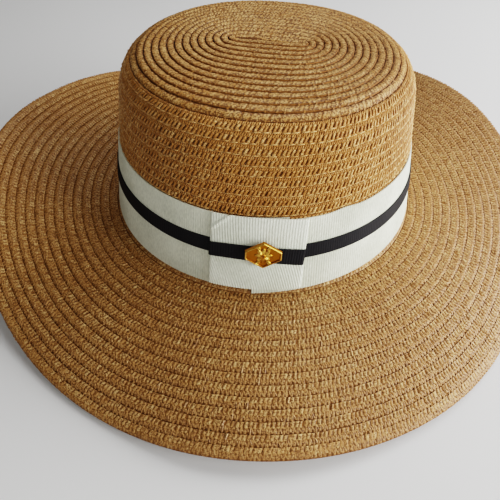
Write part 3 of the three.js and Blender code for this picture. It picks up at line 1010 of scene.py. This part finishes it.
def patchRibbon(name, node, spec, reliefAt, material):
    # a short length of ribbon laid flat on the wall, its cut edges pulled down
    columns = int(spec["width"] / ribbon["rib"]) * spec["columnsPerRib"]

    def pointAt(column, row):
        share, level = column / columns, row / spec["rows"]
        x = spec["width"] * (share - 0.5) - spec["flare"] * (1 - share) * (1 - level)
        bend = spec["bend"] * (0.5 - (2 * share - 1) ** 2)
        y = spec["height"] * (level - 0.5) * (1 + spec["taper"] * (2 * share - 1)) + bend
        y = y - spec["topDrop"] * level * np.clip(2 * share - 1, 0, 1) ** 1.5
        along = spec["along"] + x * math.cos(spec["turn"]) - y * math.sin(spec["turn"])
        up = spec["up"] + x * math.sin(spec["turn"]) + y * math.cos(spec["turn"])
        side = np.minimum(np.minimum(share, 1 - share) * spec["width"], spec["edgeRun"]) / spec["edgeRun"]
        droop = spec["edgeDrop"] * (1 - np.sqrt(np.clip(1 - (1 - side) ** 2, 0, 1)))
        return wallPoint(along, up, spec["lift"] - droop + reliefAt(x, y))

    return ribbonPiece(name, node, columns, spec["rows"], pointAt, material)


def tabRelief(x, y):
    cloth = tabCloth
    waverX, waverY = cloth["waverRun"]
    swellX, swellY = cloth["swellRun"]
    waver = cloth["waver"] * np.sin(x / waverX + y / waverY)
    wander = cloth["wander"] * np.sin(y / cloth["wanderRun"]) + waver
    crease = (x - cloth["cornerX"]) + (cloth["cornerY"] - y) - cloth["foldOff"]
    fold = cloth["foldHeight"] * np.exp(-((crease / cloth["foldWidth"]) ** 2))
    swell = cloth["swell"] * np.sin(x / swellX) * np.cos(y / swellY)
    weave = ribs(x + wander + cloth["lowSlant"] * np.minimum(y, 0)) * np.where(y < 0, cloth["lowRibs"], 1)
    return weave + fold + swell


def tabStripeRelief(x, y):
    return ribs(x) + tabCloth["swell"] * np.sin(x / tabCloth["swellRun"][0])


tabRibbon = patchRibbon("tabRibbon", "tab_ribbon", tab, tabRelief, litTabWhite)
tabBar = patchRibbon("tabStripe", "tab_stripe", tabStripe, tabStripeRelief, blackRibbon)
print("tab laid")


# gilt badge: a long hexagon with a thin rim round a rosette with leaves
badge = {
    "width": 17.8 * mm, "height": 14.5 * mm, "sideHeight": 4.2 * mm,
    "along": -1 * mm, "up": 25 * mm, "turn": math.radians(-1.5), "lift": 4.9 * mm,
    "plate": 0.9 * mm, "rim": 1.9 * mm, "dish": 1.1 * mm, "faceShare": 0.87, "spokes": 144, "rings": 44,
}
rosette = {
    "petals": 8, "radius": 4.3 * mm, "waist": 0.62, "lift": 0.8 * mm, "veins": 0.12 * mm,
    "budRadius": 1 * mm, "budLift": 0.3 * mm,
}
leaf = {
    "across": 2.7 * mm, "up": 4.3 * mm, "lean": math.radians(52), "length": 2.1 * mm, "width": 0.95 * mm,
    "lift": 0.55 * mm, "midrib": 0.35, "midribWidth": 0.2,
}


def badgeRelief(x, y):
    far, angle = np.hypot(x, y), np.arctan2(y, x)
    petal = np.abs(np.cos(rosette["petals"] / 2 * angle))
    outline = rosette["radius"] * (rosette["waist"] + (1 - rosette["waist"]) * petal)
    bloom = np.clip(1 - (far / outline) ** 2, 0, 1)
    veins = rosette["veins"] * np.cos(3 * rosette["petals"] * angle) * bloom
    bud = rosette["budLift"] * np.sqrt(np.clip(1 - (far / rosette["budRadius"]) ** 2, 0, 1))
    leafX, leafY = np.abs(x) - leaf["across"], np.abs(y) - leaf["up"]
    stem = (leafX * math.cos(leaf["lean"]) + leafY * math.sin(leaf["lean"])) / leaf["length"]
    side = (leafY * math.cos(leaf["lean"]) - leafX * math.sin(leaf["lean"])) / leaf["width"]
    bulge = np.sqrt(np.clip(1 - stem**2 - side**2, 0, 1))
    midrib = 1 - leaf["midrib"] * np.exp(-((side / leaf["midribWidth"]) ** 2))
    return rosette["lift"] * np.sqrt(bloom) + veins + bud + leaf["lift"] * bulge * midrib


def buildBadge():
    rim, spokes = badge["rim"], badge["spokes"]
    frameRings = [  # share of the way out and level: the back, the side of the plate and the rim
        {"share": 0, "level": 0},
        {"share": 1, "level": 0},
        {"share": 1, "level": badge["plate"]},
        {"share": 0.97, "level": rim - 0.1 * mm},
        {"share": 0.95, "level": rim},
        {"share": 0.92, "level": rim},
        {"share": 0.90, "level": rim - 0.2 * mm},
    ]
    face = np.linspace(badge["faceShare"], 0, badge["rings"])
    share = np.concatenate([[ring["share"] for ring in frameRings], face])
    level = np.concatenate([[ring["level"] for ring in frameRings], np.full(badge["rings"], badge["dish"])])
    onFace = np.concatenate([np.zeros(len(frameRings)), np.ones(badge["rings"])])
    centre = wallPoint(badge["along"], badge["up"], badge["lift"])
    lean, turn = crown["wallLean"], badge["turn"]

    def pointAt(column, row):
        angle = 2 * math.pi * (column % spokes + 0.5) / spokes
        cos, sin = np.abs(np.cos(angle)), np.abs(np.sin(angle))
        slope = (badge["height"] - badge["sideHeight"]) / badge["width"]
        flank = badge["width"] / 2 / np.maximum(cos, 1e-6)
        reach = np.minimum(flank, badge["height"] / 2 / (sin + slope * cos))
        x, y = share[row] * reach * np.cos(angle), share[row] * reach * np.sin(angle)
        z = level[row] + onFace[row] * badgeRelief(x, y)
        x, y = x * math.cos(turn) - y * math.sin(turn), x * math.sin(turn) + y * math.cos(turn)
        inward = y * math.sin(lean) - z * math.cos(lean)
        upward = y * math.cos(lean) + z * math.sin(lean)
        return centre + np.stack([x, inward, upward], -1)

    piece = gridPiece("giltBadge", spokes, len(share) - 1, pointAt, True)
    away = np.empty(len(piece.data.vertices) * 3)
    piece.data.vertices.foreach_get("co", away)
    away = away.reshape(-1, 3) - centre
    # how far the relief stands up, which drives the gilt's painted highlight and shade
    height = (away[:, 2] * math.sin(lean) - away[:, 1] * math.cos(lean) - badge["dish"]) / rosette["lift"]
    layer = piece.data.attributes.new("raised", "FLOAT", "POINT")
    layer.data.foreach_set("value", np.clip(height, 0, 1).astype(np.float32))
    smoothByAngle(piece, smoothing["badge"])
    return piece


# low and high: the gilt painted darker in low places as painted shade and paler on the raised relief as
# painted highlight
giltLook = {
    "low": (0.39, 0.145, 0.012, 1), "high": (0.80, 0.47, 0.11, 1), "shadeToHighlight": (0.05, 0.8),
    "grainScale": 2600, "grain": 0.4, "dimmed": 0.2, "smoothest": 0.22, "roughening": 0.2,
    "grainHeight": 0.08 * mm,
}


def giltFinish():
    look = giltLook
    material, start, place, feed = newFinish("giltMetal", {"Metallic": 1.0, "Specular IOR Level": 0.6})
    raised = attributeWire(start, "raised")
    grain = place.noise(look["grainScale"])
    # painted highlight on the raised relief and painted shade in the low places
    reliefHighlight = (raised + grain * look["grain"] - look["dimmed"]).ramp(*look["shadeToHighlight"])
    feed(
        baseColour=reliefHighlight.colour(look["low"], look["high"]),
        roughness=grain * look["roughening"] + look["smoothest"],
        normal=grain.bump(0.2, look["grainHeight"]),
    )
    return material


badgePiece = buildBadge()
give(badgePiece, giltFinish())
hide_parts("badge")
print("badge raised")


# floor, light and camera
def plainFinish(name, colour, roughness):
    material, _, place, feed = newFinish(name, {"Specular IOR Level": 0.2})
    grainScale, paleness, roughening = 6, 1.03, 0.05
    grain = place.noise(grainScale)
    paler = tuple(channel * paleness for channel in colour[:3]) + (1,)
    feed(baseColour=grain.colour(colour, paler), roughness=grain * roughening + roughness)
    return material


stage = {
    "size": 6.0, "colour": (0.8, 0.8, 0.8, 1), "roughness": 0.7,
    "air": (1.0, 0.90, 0.78, 1), "airStrength": 0.03, "lightAim": (0, 0, 0.05),
}
deselectAll()
bpy.ops.mesh.primitive_plane_add(size=stage["size"], location=(0, 0, cadBox[0][2]))
floor = bpy.context.object
floor.name = "floor"
bpy.ops.object.transform_apply(location=True, rotation=True, scale=True)
floor.data.materials.append(plainFinish("paleFloor", stage["colour"], stage["roughness"]))

lights = {
    "side": {"place": (0.9, 0.1, 0.22), "size": 0.5, "power": 7.4, "colour": (1, 1, 1)},
    "sideFront": {"place": (0.82, -0.48, 0.36), "size": 0.5, "power": 7.3, "colour": (1, 1, 1)},
    "sideHigh": {"place": (0.8, 0.35, 0.8), "size": 0.6, "power": 4.4, "colour": (1, 1, 1)},
    "top": {"place": (0.2, 0.45, 0.95), "size": 0.6, "power": 2.4, "colour": (1, 1, 1)},
    "front": {"place": (-0.1, -0.9, 0.9), "size": 1.2, "power": 3.9, "colour": (1, 0.99, 0.96)},
}
for name, spec in lights.items():
    deselectAll()
    bpy.ops.object.light_add(type="AREA", location=spec["place"])
    lamp = bpy.context.object
    lamp.name = name + "Light"
    lamp.data.size = spec["size"]
    lamp.data.energy = spec["power"]
    lamp.data.color = spec["colour"]
    aim = Vector(stage["lightAim"]) - Vector(spec["place"])
    lamp.rotation_euler = aim.to_track_quat("-Z", "Y").to_euler()

world = bpy.data.worlds.new("studioAir")
world.use_nodes = True
background = world.node_tree.nodes["Background"]
background.inputs["Color"].default_value = stage["air"]
background.inputs["Strength"].default_value = stage["airStrength"]
bpy.context.scene.world = world
bpy.context.scene.view_settings.view_transform = "Filmic"
bpy.context.scene.view_settings.look = "High Contrast"

view = {
    "elevation": math.radians(45.69),
    "roll": math.radians(1.05),
    "distance": 366.6 * mm,
    "target": (-7.34 * mm, 0, -64.1 * mm),  # from the foot of the crown's axis
    "lens": 36.5,
    "sensor": 36,
    "nearest": 0.01,
}
back = Vector((0, -math.cos(view["elevation"]), math.sin(view["elevation"])))
right, up = Vector((1, 0, 0)), Vector((0, math.sin(view["elevation"]), math.cos(view["elevation"])))
turnedRight = math.cos(view["roll"]) * right + math.sin(view["roll"]) * up
turnedUp = math.cos(view["roll"]) * up - math.sin(view["roll"]) * right
spot = Vector((axisX, axisY, footZ)) + Vector(view["target"]) + view["distance"] * back
deselectAll()
bpy.ops.object.camera_add(location=spot)
camera = bpy.context.object
camera.data.lens = view["lens"]
camera.data.sensor_width = view["sensor"]
camera.data.clip_start = view["nearest"]
turn = Matrix((turnedRight, turnedUp, back)).transposed()
camera.rotation_euler = turn.to_euler()
bpy.context.scene.camera = camera
print("stage lit")
